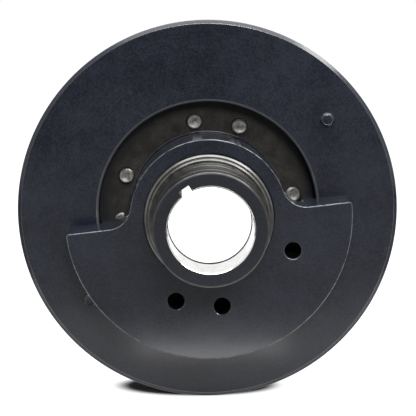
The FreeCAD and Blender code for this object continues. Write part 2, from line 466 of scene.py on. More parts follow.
@dataclass(frozen=True)
class BrightZinc(Finish):
    """Zinc plating with dull patches and dirt in its hollows, and painted shade over the long
    screws' shanks, which lie deep in holes.
    """

    bright: Colour = (0.48, 0.47, 0.45)
    dull: Colour = (0.25, 0.245, 0.23)
    # Dirt in hollows, and painted shade on the long screws' shanks.
    dirt_and_shade: Colour = (0.030, 0.027, 0.022)
    roughness: float = 0.40

    def dress(self, graph: Graph, shader: Node) -> None:
        """Fill the shader's sockets."""
        where = graph.place()
        patches = graph.noise(where, 2.2, 4.0, 0.65)
        grain = graph.noise(where, 0.35, 3.0, 0.6)
        hollow = graph.mark("hollow")
        plate = graph.blend(patches.step(0.36, 0.66), self.dull, self.bright)
        # Dirt in the hollows; the next line adds painted shade, where a mark of 1 paints a long
        # screw's whole shank near black, as deep in its hole.
        grime = hollow * graph.noise(where, 1.2, 3.0, 0.7).step(0.35, 0.65) * 0.85
        grime = (grime + hollow.step(0.95, 1.0)).at_most(1.0)
        self.feed(graph, shader, {
            "Base Color": graph.blend(grime, plate, self.dirt_and_shade),
            "Metallic": 0.7 - grime * 0.5,
            "Roughness": (patches - 0.5) * 0.25 + self.roughness + grime * 0.25,
            "Normal": graph.bump(grain * 0.5 + patches * 0.5, 0.03),
        })


@dataclass(frozen=True)
class Machined(Finish):
    """Bare turned metal or plastic of one of the hidden rings."""

    base: Colour = (0.25, 0.25, 0.25)
    deep: Colour = (0.14, 0.14, 0.14)
    metallic: float = 1.0
    roughness: float = 0.4
    pitch: float = 0.6

    def dress(self, graph: Graph, shader: Node) -> None:
        """Fill the shader's sockets."""
        where = graph.place()
        x, y, z = graph.parts(where)
        radius = (x * x + z * z) ** 0.5
        marks = graph.lines(radius + y, self.pitch, 3.0)
        stains = graph.noise(where, 9.0, 4.0, 0.6)
        tone = (marks * 0.35 + stains * 0.65).step(0.33, 0.68)
        self.feed(graph, shader, {
            "Base Color": graph.blend(tone, self.deep, self.base),
            "Metallic": self.metallic,
            "Roughness": (stains - 0.5) * 0.2 + self.roughness,
            "Normal": graph.bump(marks, 0.012),
        })


class Outline:
    """Closed outline of (radius, place) corners, each with its own rounding, in millimetres."""

    def __init__(self, corners: Sequence[Corner], steps: int = 4) -> None:
        """Hold the corners.

        Args:
            corners: Radius, place along the shaft and rounding of each corner.
            steps: Number of strips that a rounding is made of.
        """
        self.corners = list(corners)
        self.steps = steps

    def points(self) -> list[Corner]:
        """The outline with its corners rounded.

        Returns:
            Radius, place and edge share of each point; the share is 1 in the middle of a rounding.
        """
        found: list[Corner] = []
        count = len(self.corners)
        for index, (radius, place, rounding) in enumerate(self.corners):
            here = Vector((radius, place))
            to_last = Vector(self.corners[index - 1][:2]) - here
            to_next = Vector(self.corners[(index + 1) % count][:2]) - here
            half = to_last.angle(to_next) / 2
            if rounding <= 0 or half > math.radians(88):
                found.append((radius, place, 0.0))
                continue
            reach = min(rounding / math.tan(half), to_last.length * 0.49, to_next.length * 0.49)
            size = reach * math.tan(half)
            start = here + to_last.normalized() * reach
            end = here + to_next.normalized() * reach
            middle = here + (to_last.normalized() + to_next.normalized()).normalized() * (
                size / math.sin(half)
            )
            sweep = (start - middle).angle(end - middle)
            for step in range(self.steps + 1):
                share = step / self.steps
                first = math.sin((1 - share) * sweep) / math.sin(sweep)
                second = math.sin(share * sweep) / math.sin(sweep)
                point = middle + (start - middle) * first + (end - middle) * second
                found.append((point.x, point.y, 1.0 - abs(2 * share - 1) ** 2))
        return found


class Workshop:
    """Makes and finishes mesh objects."""

    @staticmethod
    def add(name: str, mesh: BMesh) -> Object:
        """Put a mesh into the scene.

        Args:
            name: Name of the object.
            mesh: Its mesh, which is freed.

        Returns:
            The new object.
        """
        data = bpy.data.meshes.new(name)
        mesh.to_mesh(data)
        mesh.free()
        made = bpy.data.objects.new(name, data)
        bpy.context.scene.collection.objects.link(made)
        return made

    @staticmethod
    def turned(
        points: Sequence[Corner],
        segments: int,
        centre: Flat = (0.0, 0.0),
        mark: Optional[Callable[[float, float], float]] = None,
        mark_name: str = "bare",
    ) -> BMesh:
        """Turn a closed outline round a line parallel to the shaft.

        Args:
            points: Radius, place and edge share of each point, in millimetres.
            segments: Number of steps round the line.
            centre: The line's x and z in millimetres.
            mark: Gives a number for each radius and place, to be stored on the mesh.
            mark_name: Name of that number.

        Returns:
            The closed mesh.
        """
        mesh = bmesh.new()
        edge = mesh.verts.layers.float.new("edge")
        extra = mesh.verts.layers.float.new(mark_name)
        rings: list[list[BMVert]] = []
        for radius, place, share in points:
            steps = segments if radius > 1e-6 else 1
            ring = []
            for index in range(steps):
                turn = 2 * math.pi * index / segments
                vertex = mesh.verts.new((
                    (centre[0] + radius * math.cos(turn)) * MM,
                    place * MM,
                    (centre[1] + radius * math.sin(turn)) * MM,
                ))
                vertex[edge] = share
                vertex[extra] = mark(radius, place) if mark else 0.0
                ring.append(vertex)
            rings.append(ring)
        for index, ring in enumerate(rings):
            other = rings[(index + 1) % len(rings)]
            Workshop.bridge(mesh, ring, other)
        bmesh.ops.remove_doubles(mesh, verts=mesh.verts, dist=1e-7)
        bmesh.ops.recalc_face_normals(mesh, faces=mesh.faces)
        return mesh

    @staticmethod
    def bridge(
        mesh: BMesh, one: list[BMVert], two: list[BMVert]
    ) -> None:
        """Join two closed loops, either of which may be a single point.

        Args:
            mesh: The mesh they belong to.
            one: The first loop.
            two: The second loop.
        """
        count = max(len(one), len(two))
        if count == 1:
            return
        for index in range(count):
            after = (index + 1) % count
            if len(one) == 1:
                mesh.faces.new((one[0], two[index], two[after]))
            elif len(two) == 1:
                mesh.faces.new((one[index], two[0], one[after]))
            else:
                mesh.faces.new((one[index], two[index], two[after], one[after]))

    @staticmethod
    def applied(piece: Object) -> None:
        """Replace the mesh by what its modifiers make of it, and drop the modifiers."""
        graph = bpy.context.evaluated_depsgraph_get()
        data = bpy.data.meshes.new_from_object(
            piece.evaluated_get(graph), preserve_all_data_layers=True, depsgraph=graph
        )
        piece.modifiers.clear()
        old = piece.data
        piece.data = data
        data.name = piece.name
        bpy.data.meshes.remove(old)

    @classmethod
    def cut(cls, piece: Object, tools: Sequence[BMesh]) -> None:
        """Cut tool shapes out of a piece.

        Args:
            piece: The piece, which is changed.
            tools: Closed meshes that don't touch each other; they are freed.
        """
        for number, tool in enumerate(tools):
            cutter = cls.add("cutter_%d" % number, tool)
            change = piece.modifiers.new("Cut", "BOOLEAN")
            change.operation = "DIFFERENCE"
            change.solver = "EXACT"
            change.object = cutter
            cls.applied(piece)
            data = cutter.data
            bpy.data.objects.remove(cutter)
            bpy.data.meshes.remove(data)

    @classmethod
    def smoothed(cls, piece: Object, angle: float = 32.0) -> None:
        """Shade smooth up to an angle, with normals that follow the large faces.

        Args:
            piece: The piece.
            angle: Edges sharper than this stay sharp, in degrees.
        """
        piece.data.polygons.foreach_set("use_smooth", [True] * len(piece.data.polygons))
        piece.data.set_sharp_from_angle(angle=math.radians(angle))
        weigh = piece.modifiers.new("FaceWeighted", "WEIGHTED_NORMAL")
        weigh.keep_sharp = True
        weigh.weight = 50
        cls.applied(piece)

    @staticmethod
    def dressed(
        piece: Object,
        material: Material,
        slot: Slot,
        nodes: Sequence[str],
        body: str = BODY,
    ) -> Object:
        """Give a piece its finish and its body, and hide the CAD nodes it stands for.

        Args:
            piece: The finished piece.
            material: Its material.
            slot: A slot name for it; not used.
            nodes: Names of the CAD nodes it replaces.
            body: The body it rides on.

        Returns:
            The piece.
        """
        piece.data.materials.clear()
        piece.data.materials.append(material)
        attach(piece, body)
        if nodes:
            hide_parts(*nodes)
        log.info("%s: %d faces for %s", piece.name, len(piece.data.polygons), ", ".join(nodes))
        return piece


def on_circle(radius: float, angle: float) -> Flat:
    """The (x, z) point at an angle in degrees, counted from +X towards +Z."""
    turn = math.radians(angle)
    return radius * math.cos(turn), radius * math.sin(turn)


@dataclass(frozen=True)
class ScrewCircle:
    """Eight places on one circle: four pairs, a quarter turn apart."""

    radius: float = 46.3
    first_middle: float = -6.5
    half_angle: float = 15.0
    pairs: int = 4

    def angles(self) -> list[float]:
        """The eight angles in degrees, from the first pair on."""
        found = []
        for pair in range(self.pairs):
            middle = self.first_middle + 90.0 * pair
            found.append((middle - self.half_angle) % 360)
            found.append((middle + self.half_angle) % 360)
        return found

    def node_numbers(self) -> list[int]:
        """Number of the CAD node at each place."""
        order = sorted(self.angles())
        return [order.index(angle) + 1 for angle in self.angles()]


@dataclass
class TurnedPiece:
    """A piece that is turned from one outline and then drilled or cut."""

    name: str = "turned_piece"
    segments: int = 256
    centre: Flat = (0.0, 0.0)
    mark_name: str = "bare"

    def outline(self) -> Outline:
        """The turned outline with its small roundings."""
        raise NotImplementedError

    def mark(self, radius: float, place: float) -> float:
        """The number that is stored on the mesh at a radius and a place."""
        return 0.0

    def tools(self) -> list[BMesh]:
        """The tools that are cut out of it."""
        return []

    def build(self) -> Object:
        """Make the piece.

        Returns:
            The finished piece, without its material.
        """
        points = self.outline().points()
        mesh = Workshop.turned(points, self.segments, self.centre, self.mark, self.mark_name)
        piece = Workshop.add(self.name, mesh)
        Workshop.cut(piece, self.tools())
        Workshop.smoothed(piece)
        return piece


@dataclass
class Hub(TurnedPiece):
    """Snout with its seal band and collars, tube, flange and keyed bore."""

    name: str = "hub_turned"
    disc_face: float = 53.6
    snout_end: float = -15.0
    bore: float = 21.3
    bore_chamfer: float = 0.5
    land_end: float = 14.5
    burr: float = 0.25
    key_width: float = 6.0
    key_floor: float = 24.45
    key_angle: float = 123.2
    lead_in: float = 28.55
    seal: float = 28.7
    groove_floor: float = 28.3
    shoulder: float = 29.0
    second_collar: float = 31.3
    first_collar: float = 32.95
    root_radius: float = 36.8
    flange: float = 57.4
    spigot: float = 36.0
    room: float = 33.0
    throat: float = 27.5
    bolt_room: float = 24.6
    floor: float = 68.1
    hole: float = 4.0
    hole_mouth: float = 4.5
    circle: ScrewCircle = field(default_factory=ScrewCircle)

    def outline(self) -> Outline:
        """The turned outline with its small roundings."""
        face = self.disc_face
        groove_one = face - 57.5
        groove_two = face - 41.0
        second = face - 34.5
        first = face - 31.5
        root = face - 5.0
        back = face + 24.0
        return Outline([
            (self.bore + self.bore_chamfer, self.snout_end, 0.1),
            (self.bore + self.bore_chamfer + 0.3, self.snout_end, 0.0),
            (self.lead_in - 0.9, self.snout_end, 0.15),
            (self.lead_in, self.snout_end + 0.9, 0.15),
            (self.lead_in, groove_one - 1.0, 0.1),
            (self.groove_floor, groove_one - 0.9, 0.1),
            (self.groove_floor, groove_one - 0.1, 0.1),
            (self.seal, groove_one, 0.1),
            (self.seal, groove_two, 0.1),
            (self.groove_floor, groove_two + 0.1, 0.1),
            (self.groove_floor, groove_two + 0.9, 0.1),
            (self.shoulder, groove_two + 1.0, 0.1),
            (self.shoulder, second, 0.3),
            (self.second_collar - 0.8, second, 0.2),
            (self.second_collar, second + 0.8, 0.2),
            (self.second_collar, first, 0.1),
            (self.first_collar - 0.9, first, 0.1),
            (self.first_collar, first + 0.9, 0.1),
            (self.first_collar, root, 0.2),
            (self.root_radius, root, 0.2),
            (self.root_radius, self.floor, 0.8),
            (self.flange, self.floor, 0.3),
            (self.flange, back, 0.3),
            (self.spigot, back, 0.3),
            (self.spigot, back + 3.5, 0.2),
            (self.spigot - 0.5, back + 4.0, 0.2),
            (self.room, back + 4.0, 0.3),
            (self.room, face, 1.0),
            (self.throat, face - 1.5, 0.5),
            (self.throat, face - 31.0, 1.0),
            (self.bolt_room, face - 33.0, 0.5),
            (self.bolt_room, self.land_end, 0.3),
            (self.bore - self.burr, self.land_end, 0.1),
            (self.bore - self.burr, self.land_end - 1.6, 0.0),
            (self.bore, self.land_end - 2.0, 0.0),
            (self.bore, self.snout_end + self.bore_chamfer, 0.1),
        ])

    def mark(self, radius: float, place: float) -> float:
        """How bare the steel is: 1 in the bore, less on the collar's edge, 0.5 on the snout."""
        if radius < self.bore + 0.55:
            return 0.0 if place > self.land_end - 1.8 else 1.0
        if radius > 31.9 and abs(place - self.disc_face + 31.1) < 0.55:
            return 0.64
        outside = 28.0 < radius < 33.2 and self.snout_end + 0.3 < place < self.disc_face - 26.0
        return 0.5 if outside else 0.0

    def keyway(self) -> BMesh:
        """The tool that cuts the keyway."""
        mesh = bmesh.new()
        bmesh.ops.create_cube(mesh, size=1.0)
        length = self.land_end - self.snout_end + 2.0
        for vertex in mesh.verts:
            along = (vertex.co.x + 0.5) * self.key_floor
            across = vertex.co.z * self.key_width
            turn = math.radians(self.key_angle)
            vertex.co = Vector((
                (along * math.cos(turn) - across * math.sin(turn)) * MM,
                (self.snout_end - 1.0 + (vertex.co.y + 0.5) * length) * MM,
                (along * math.sin(turn) + across * math.cos(turn)) * MM,
            ))
        mesh.normal_update()
        bmesh.ops.recalc_face_normals(mesh, faces=mesh.faces)
        return mesh

    def tools(self) -> list[BMesh]:
        """The tools that cut the keyway and the threaded holes."""
        back = self.disc_face + 25.0
        drill = [
            (0.0, self.floor - 1.0, 0.0),
            (self.hole_mouth + 1.0, self.floor - 1.0, 0.0),
            (self.hole, self.floor + (self.hole_mouth - self.hole), 0.0),
            (self.hole, back, 0.0),
            (0.0, back, 0.0),
        ]
        places = [on_circle(self.circle.radius, angle) for angle in self.circle.angles()]
        return [self.keyway()] + [Workshop.turned(drill, 48, place) for place in places]


@dataclass
class Counterweight:
    """Half-moon plate and its ring round the hub, on a smaller pad that stands in the recess."""

    front: float = 26.2
    back: float = 53.0
    floor: float = 68.1
    radius: float = 73.6
    pad_radius: float = 57.1
    neck: float = 40.5
    inner_corner: float = 12.5
    tip_corner: float = 1.6
    tilt: float = 6.5
    edge: float = 0.6
    back_edge: float = 0.35
    foot_radius: float = 41.3
    foot_height: float = 3.0
    bore_front: float = 33.0
    bore_root: float = 36.85
    root: float = 48.6
    hole: float = 4.4
    hole_angles: tuple[float, ...] = (248.5, 278.5, 338.5)
    pockets: tuple[Flat, ...] = ((8.5, 24.0), (188.5, 4.0))
    relief: float = 6.1
    relief_angles: tuple[float, ...] = (68.5, 98.5, 158.5)
    circle: ScrewCircle = field(default_factory=ScrewCircle)

    def loop(self, outer: float, tip: float) -> list[tuple[float, float, float, float, float]]:
        """Points of the outline before it is tilted.

        Args:
            outer: Radius of the half-moon.
            tip: Rounding of its two tips.

        Returns:
            x, z, outward normal x and z, and 1 on the half-moon or 0 on the neck, of each point.
        """
        found = []
        reach = math.sqrt((self.neck + self.inner_corner) ** 2 - self.inner_corner ** 2)
        touch = math.atan2(self.inner_corner, reach)
        tip_x = math.sqrt((outer - tip) ** 2 - tip ** 2)
        tip_turn = math.atan2(tip, tip_x)

        def arc(x: float, z: float, size: float, start: float, end: float, steps: int,
                outward: float, share: float) -> None:
            """Add the points of an arc, from one angle to another."""
            for step in range(steps):
                turn = start + (end - start) * step / steps
                found.append((
                    x + size * math.cos(turn), z + size * math.sin(turn),
                    outward * math.cos(turn), outward * math.sin(turn), share,
                ))

        def line(x_start: float, x_end: float, steps: int, share: float) -> None:
            """Add points of the straight top edge."""
            for step in range(steps):
                found.append((x_start + (x_end - x_start) * step / steps, 0.0, 0.0, 1.0, share))

        arc(tip_x, -tip, tip, -tip_turn, math.pi / 2, 6, 1.0, 1.0)
        line(tip_x, reach, 8, 1.0)
        corner = self.inner_corner
        arc(reach, corner, corner, -math.pi / 2, -math.pi + touch, 18, -1.0, 0.0)
        arc(0.0, 0.0, self.neck, touch, math.pi - touch, 96, 1.0, 0.0)
        arc(-reach, corner, corner, -touch, -math.pi / 2, 18, -1.0, 0.0)
        line(-reach, -tip_x, 8, 1.0)
        arc(-tip_x, -tip, tip, math.pi / 2, math.pi + tip_turn, 6, 1.0, 1.0)
        arc(0.0, 0.0, outer, math.pi + tip_turn, 2 * math.pi - tip_turn, 160, 1.0, 1.0)
        return found

    def ring(
        self, mesh: BMesh, outer: float, tip: float, inset: float, place: float,
        share: float, everywhere: bool = True,
    ) -> list[BMVert]:
        """One closed loop of vertices of the plate or the pad.

        Args:
            mesh: The mesh it goes into.
            outer: Radius of the half-moon.
            tip: Rounding of its tips.
            inset: How far it is drawn in.
            place: Place along the shaft.
            share: Edge share that is stored.
            everywhere: False to draw in only the half-moon's part.

        Returns:
            The loop.
        """
        edge = mesh.verts.layers.float["edge"]
        turn = math.radians(self.tilt)
        made = []
        for x, z, out_x, out_z, moon in self.loop(outer, tip):
            step = inset if everywhere or moon else 0.0
            shift = place if everywhere or moon else self.back
            x, z = x - out_x * step, z - out_z * step
            vertex = mesh.verts.new((
                (x * math.cos(turn) - z * math.sin(turn)) * MM,
                shift * MM,
                (x * math.sin(turn) + z * math.cos(turn)) * MM,
            ))
            vertex[edge] = share
            made.append(vertex)
        return made

    def blank(self) -> BMesh:
        """The plate and its pad without holes."""
        mesh = bmesh.new()
        mesh.verts.layers.float.new("edge")
        rings = []
        steps = 4
        for step in range(steps + 1):
            turn = math.pi / 2 * step / steps
            inset = self.edge * (1 - math.sin(turn))
            place = self.front + self.edge * (1 - math.cos(turn))
            share = 1.0 - abs(2 * step / steps - 1) ** 2
            rings.append(self.ring(mesh, self.radius, self.tip_corner, inset, place, share))
        for step in range(steps + 1):
            turn = math.pi / 2 * step / steps
            inset = self.back_edge * (1 - math.cos(turn))
            place = self.back - self.back_edge * (1 - math.sin(turn))
            rings.append(self.ring(mesh, self.radius, self.tip_corner, inset, place, 0.0, False))
        rings.append(self.ring(mesh, self.pad_radius, self.tip_corner, 0.0, self.back, 0.0))
        rings.append(self.ring(mesh, self.pad_radius, self.tip_corner, 0.0, self.floor, 0.0))
        for one, two in zip(rings, rings[1:]):
            Workshop.bridge(mesh, one, two)
        mesh.faces.new(rings[0])
        mesh.faces.new(rings[-1])
        bmesh.ops.remove_doubles(mesh, verts=mesh.verts, dist=1e-6)
        bmesh.ops.dissolve_degenerate(mesh, edges=mesh.edges, dist=1e-7)
        bmesh.ops.recalc_face_normals(mesh, faces=mesh.faces)
        return mesh

    def tools(self) -> list[BMesh]:
        """The tools that cut the bore, the holes, the pockets and the reliefs."""
        made = [Workshop.turned([
            (0.0, self.front - 2.0, 0.0),
            (self.bore_front + 3.5, self.front - 2.0, 0.0),
            (self.bore_front, self.front + 0.6, 0.0),
            (self.bore_front, self.root, 0.0),
            (self.bore_root, self.root, 0.0),
            (self.bore_root, self.floor + 2.0, 0.0),
            (0.0, self.floor + 2.0, 0.0),
        ], 256)]
        for angle in self.hole_angles:
            made.append(Workshop.turned([
                (0.0, self.front - 1.0, 0.0),
                (self.hole + 1.4, self.front - 1.0, 0.0),
                (self.hole, self.front + 0.4, 0.0),
                (self.hole, self.root - 3.0, 0.0),
                (4.0, self.root - 3.0, 0.0),
                (4.0, self.floor + 1.0, 0.0),
                (0.0, self.floor + 1.0, 0.0),
            ], 64, on_circle(self.circle.radius, angle)))
        for angle, depth in self.pockets:
            made.append(self.drill(self.hole, self.floor - depth, angle))
        for angle in self.relief_angles:
            made.append(self.drill(self.relief, self.front - 1.0, angle))
        return made

    def drill(self, radius: float, start: float, angle: float) -> BMesh:
        """A plain drill that runs out behind the pad."""
        end = self.floor + 1.0
        outline = [(0.0, start, 0.0), (radius, start, 0.0), (radius, end, 0.0), (0.0, end, 0.0)]
        return Workshop.turned(outline, 64, on_circle(self.circle.radius, angle))

    def build(self) -> Object:
        """Make the counterweight with its foot.

        Returns:
            The counterweight's object.
        """
        weight = Workshop.add("counterweight_plate", self.blank())
        Workshop.cut(weight, self.tools())
        foot = Outline([
            (self.bore_root, self.floor - self.foot_height, 0.0),
            (self.foot_radius, self.floor - self.foot_height, 0.5),
            (self.foot_radius, self.floor, 0.0),
            (self.bore_root, self.floor, 0.0),
        ])
        ring = Workshop.turned(foot.points(), 256)
        joined = bmesh.new()
        joined.from_mesh(weight.data)
        extra = bpy.data.meshes.new("foot")
        ring.to_mesh(extra)
        ring.free()
        joined.from_mesh(extra)
        joined.to_mesh(weight.data)
        joined.free()
        bpy.data.meshes.remove(extra)
        Workshop.smoothed(weight)
        return weight


@dataclass
class DiscCover(TurnedPiece):
    """Flat ring that is the engine-side face, with a bevelled edge and a rounded lip."""

    face: float = 53.6
    thickness: float = 3.0
    radius: float = 100.0
    recess: float = 57.5
    lip: float = 2.0
    bevel_width: float = 1.9
    bevel_depth: float = 1.4
    name: str = "disc_cover"
    segments: int = 320

    def outline(self) -> Outline:
        """The turned outline; its lip has more strips than other roundings."""
        back = self.face + self.thickness
        return Outline([
            (self.recess, self.face, self.lip),
            (self.radius - self.bevel_width, self.face, 0.35),
            (self.radius, self.face + self.bevel_depth, 0.35),
            (self.radius, back, 0.3),
            (self.recess, back, 0.0),
        ], 6)


@dataclass
class FillPlug(TurnedPiece):
    """Raised button with a sloping side that closes a hole in the cover."""

    name: str = "plug_button"
    segments: int = 96
    face: float = 53.6
    head: float = 3.65
    top: float = 2.65
    rim: float = 0.5
    height: float = 1.5

    def outline(self) -> Outline:
        """The turned outline with its small roundings."""
        return Outline([
            (0.0, self.face - self.height + 0.12, 0.0),
            (self.top - 0.6, self.face - self.height + 0.08, 0.2),
            (self.top, self.face - self.height, 0.25),
            (self.head, self.face - self.rim, 0.2),
            (self.head, self.face + 0.4, 0.0),
            (0.0, self.face + 0.4, 0.0),
        ])


@dataclass
class BeltRim(TurnedPiece):
    """Outer ring with two V-grooves."""

    face: float = 53.6
    cover: float = 3.0
    rim: float = 98.5
    inner: float = 84.05
    groove_middles: tuple[float, ...] = (12.5, 27.5)
    groove_top: float = 13.0
    groove_depth: float = 12.5
    groove_half_angle: float = 18.0
    step: float = 86.0
    back: float = 93.6
    wall: float = 91.6
    name: str = "belt_rim"
    segments: int = 320

    def outline(self) -> Outline:
        """The turned outline with its small roundings."""
        face = self.face
        front = face + self.cover
        slope = math.tan(math.radians(self.groove_half_angle))
        floor = self.groove_top - 2 * self.groove_depth * slope
        corners: list[Corner] = [(self.inner, front, 0.2), (self.rim, front, 0.2)]
        for middle in self.groove_middles:
            centre = face + middle
            corners.append((self.rim, centre - self.groove_top / 2, 0.35))
            corners.append((self.rim - self.groove_depth, centre - floor / 2, 0.6))
            corners.append((self.rim - self.groove_depth, centre + floor / 2, 0.6))
            corners.append((self.rim, centre + self.groove_top / 2, 0.35))
        corners.extend([
            (self.rim, self.back, 0.8),
            (self.step, self.back, 0.4),
            (self.step - 1.0, self.wall, 0.3),
            (self.inner, self.wall, 0.2),
        ])
        return Outline(corners)


@dataclass
class DamperTrough(TurnedPiece):
    """Ring-shaped trough of the damper, with a shoulder for the web."""

    face: float = 53.6
    cover: float = 3.0
    outer: float = 84.0
    recess: float = 57.5
    dish: float = 57.0
    web_back: float = 83.6
    chamber_inner: float = 63.0
    chamber_outer: float = 82.0
    chamber_back: float = 87.6
    wall: float = 91.6
    name: str = "damper_trough"
    segments: int = 320

    def outline(self) -> Outline:
        """The turned outline with its small roundings."""
        front = self.face + self.cover
        return Outline([
            (self.recess, front, 0.0),
            (self.chamber_inner, front, 0.0),
            (self.chamber_inner, self.chamber_back, 0.5),
            (self.chamber_outer, self.chamber_back, 0.5),
            (self.chamber_outer, front, 0.0),
            (self.outer, front, 0.2),
            (self.outer, self.wall, 0.4),
            (self.dish + 1.0, self.wall, 0.4),
            (self.dish, self.wall - 1.0, 0.3),
            (self.dish, self.web_back, 0.0),
            (self.recess, self.web_back, 0.0),
        ])


@dataclass
class WebDisc(TurnedPiece):
    """Flat web between the hub's flange and the screws' washers."""

    inner: float = 36.05
    outer: float = 57.45
    front: float = 77.6
    back: float = 83.6
    hole: float = 4.5
    name: str = "web_disc"
    circle: ScrewCircle = field(default_factory=ScrewCircle)

    def outline(self) -> Outline:
        """The turned outline with its small roundings."""
        return Outline([
            (self.inner, self.front, 0.3),
            (self.outer, self.front, 0.2),
            (self.outer, self.back, 0.3),
            (self.inner, self.back, 0.4),
        ])

    def tools(self) -> list[BMesh]:
        """The tools that drill the screw holes."""
        drill = [
            (0.0, self.front - 1.0, 0.0),
            (self.hole, self.front - 1.0, 0.0),
            (self.hole, self.back + 1.0, 0.0),
            (0.0, self.back + 1.0, 0.0),
        ]
        places = [on_circle(self.circle.radius, angle) for angle in self.circle.angles()]
        return [Workshop.turned(drill, 48, place) for place in places]


@dataclass
class Screw:
    """Hexagon screw with a chamfered head, a thread at its end and a dished point."""

    length: float = 20.0
    seat: float = 85.2
    flats: float = 13.0
    head: float = 5.3
    shank: float = 3.95
    pitch: float = 1.25
    thread_depth: float = 0.72
    thread_length: float = 7.0
    point_chamfer: float = 0.6
    # True paints the shank below the seat as in shade, for a screw deep in a hole.
    shaded_in_hole: bool = False

    def head_loops(self, columns: int) -> list[Loop]:
        """Loops of the head from under it to its middle, as x, place, z and hollow share."""
        corner = self.flats / math.sqrt(3)
        top = self.seat + self.head
        inner = corner - 1.2
        loops = []
        shapes: list[Callable[[float], Flat]] = [
            lambda wide: (self.shank, self.seat),
            lambda wide: (6.2, self.seat),
            lambda wide: (wide - 0.12, self.seat + 0.02),
            lambda wide: (wide, self.seat + 0.25),
            lambda wide: (wide, top - 0.7 * (wide - inner) / 1.3 - 0.06),
            lambda wide: (wide - 0.05, top - 0.7 * (wide - inner) / 1.3 + 0.01),
            lambda wide: (inner + 0.06, top - 0.02),
            lambda wide: (inner - 0.15, top),
            lambda wide: (4.6, top),
            lambda wide: (4.2, top - 0.25),
            lambda wide: (0.0, top - 0.3),
        ]
        for place, shape in enumerate(shapes):
            loop = []
            for index in range(columns):
                turn = 2 * math.pi * index / columns
                within = (turn % (math.pi / 3)) - math.pi / 6
                wide = self.flats / 2 / math.cos(within)
                radius, along = shape(wide)
                hollow = 0.6 if place >= 9 else (0.8 if place <= 1 else 0.0)
                loop.append((radius * math.cos(turn), along, radius * math.sin(turn), hollow))
                if radius < 1e-6:
                    break
            loops.append(loop)
        return loops

    def shank_loops(self, columns: int) -> list[Loop]:
        """Loops of the shank from its dished point to the head."""
        tip = self.seat - self.length
        rows = round(self.thread_length / self.pitch * 6)
        loops = [
            [(0.0, tip + 0.5, 0.0, 0.9)],
            self.plain_loop(1.1, tip + 0.44, 0.7, columns),
            self.plain_loop(self.shank - self.point_chamfer - 0.85, tip + 0.06, 0.25, columns),
            self.plain_loop(self.shank - self.point_chamfer - 0.6, tip, 0.0, columns),
            self.plain_loop(self.shank - self.point_chamfer - 0.1, tip, 0.0, columns),
        ]
        for row in range(1, rows + 1):
            along = tip + self.thread_length * row / rows
            loop = []
            for index in range(columns):
                turn = 2 * math.pi * index / columns
                phase = (along / self.pitch + index / columns) % 1.0
                ridge = min(1.0, max(0.0, abs(2 * phase - 1) * 1.3 - 0.15))
                fade = min(1.0, (tip + self.thread_length - along) / 1.5)
                limit = self.shank - self.point_chamfer + (along - tip)
                thread = self.shank - self.thread_depth * ridge * fade
                radius = min(thread, max(limit, self.shank - self.thread_depth))
                loop.append((radius * math.cos(turn), along, radius * math.sin(turn), ridge * 0.8))
            loops.append(loop)
        loops.append(self.plain_loop(self.shank, self.seat, 0.0, columns))
        return loops

    @staticmethod
    def plain_loop(
        radius: float, along: float, hollow: float, columns: int
    ) -> Loop:
        """One round loop."""
        return [
            (radius * math.cos(2 * math.pi * index / columns), along,
             radius * math.sin(2 * math.pi * index / columns), hollow)
            for index in range(columns)
        ]

    def build(self, name: str) -> Object:
        """Make the screw with its shank on the shaft axis.

        Args:
            name: Name of the pattern object.

        Returns:
            The pattern that the screw circle repeats.
        """
        columns = 48
        mesh = bmesh.new()
        hollow = mesh.verts.layers.float.new("hollow")
        rings = []
        for loop in self.shank_loops(columns) + self.head_loops(columns)[1:]:
            ring = []
            for x, along, z, share in loop:
                vertex = mesh.verts.new((x * MM, along * MM, z * MM))
                # Painted shade: a long screw's shank below the seat is marked fully, so it is
                # painted near black.
                vertex[hollow] = 1.0 if self.shaded_in_hole and along < self.seat - 1.0 else share
                ring.append(vertex)
            rings.append(ring)
        for one, two in zip(rings, rings[1:]):
            Workshop.bridge(mesh, one, two)
        bmesh.ops.recalc_face_normals(mesh, faces=mesh.faces)
        screw = Workshop.add(name, mesh)
        Workshop.smoothed(screw, 28.0)
        return screw


@dataclass
class Washer(TurnedPiece):
    """Flat washer with a rounded upper edge, made on the shaft axis."""

    name: str = "washer_pattern"
    segments: int = 64
    mark_name: str = "hollow"
    start: float = 83.6
    thickness: float = 1.6
    radius: float = 8.0
    hole: float = 4.2

    def outline(self) -> Outline:
        """The turned outline with its small roundings."""
        end = self.start + self.thickness
        return Outline([
            (self.hole, self.start, 0.1),
            (self.radius, self.start, 0.1),
            (self.radius, end, 0.45),
            (self.hole, end, 0.3),
        ])


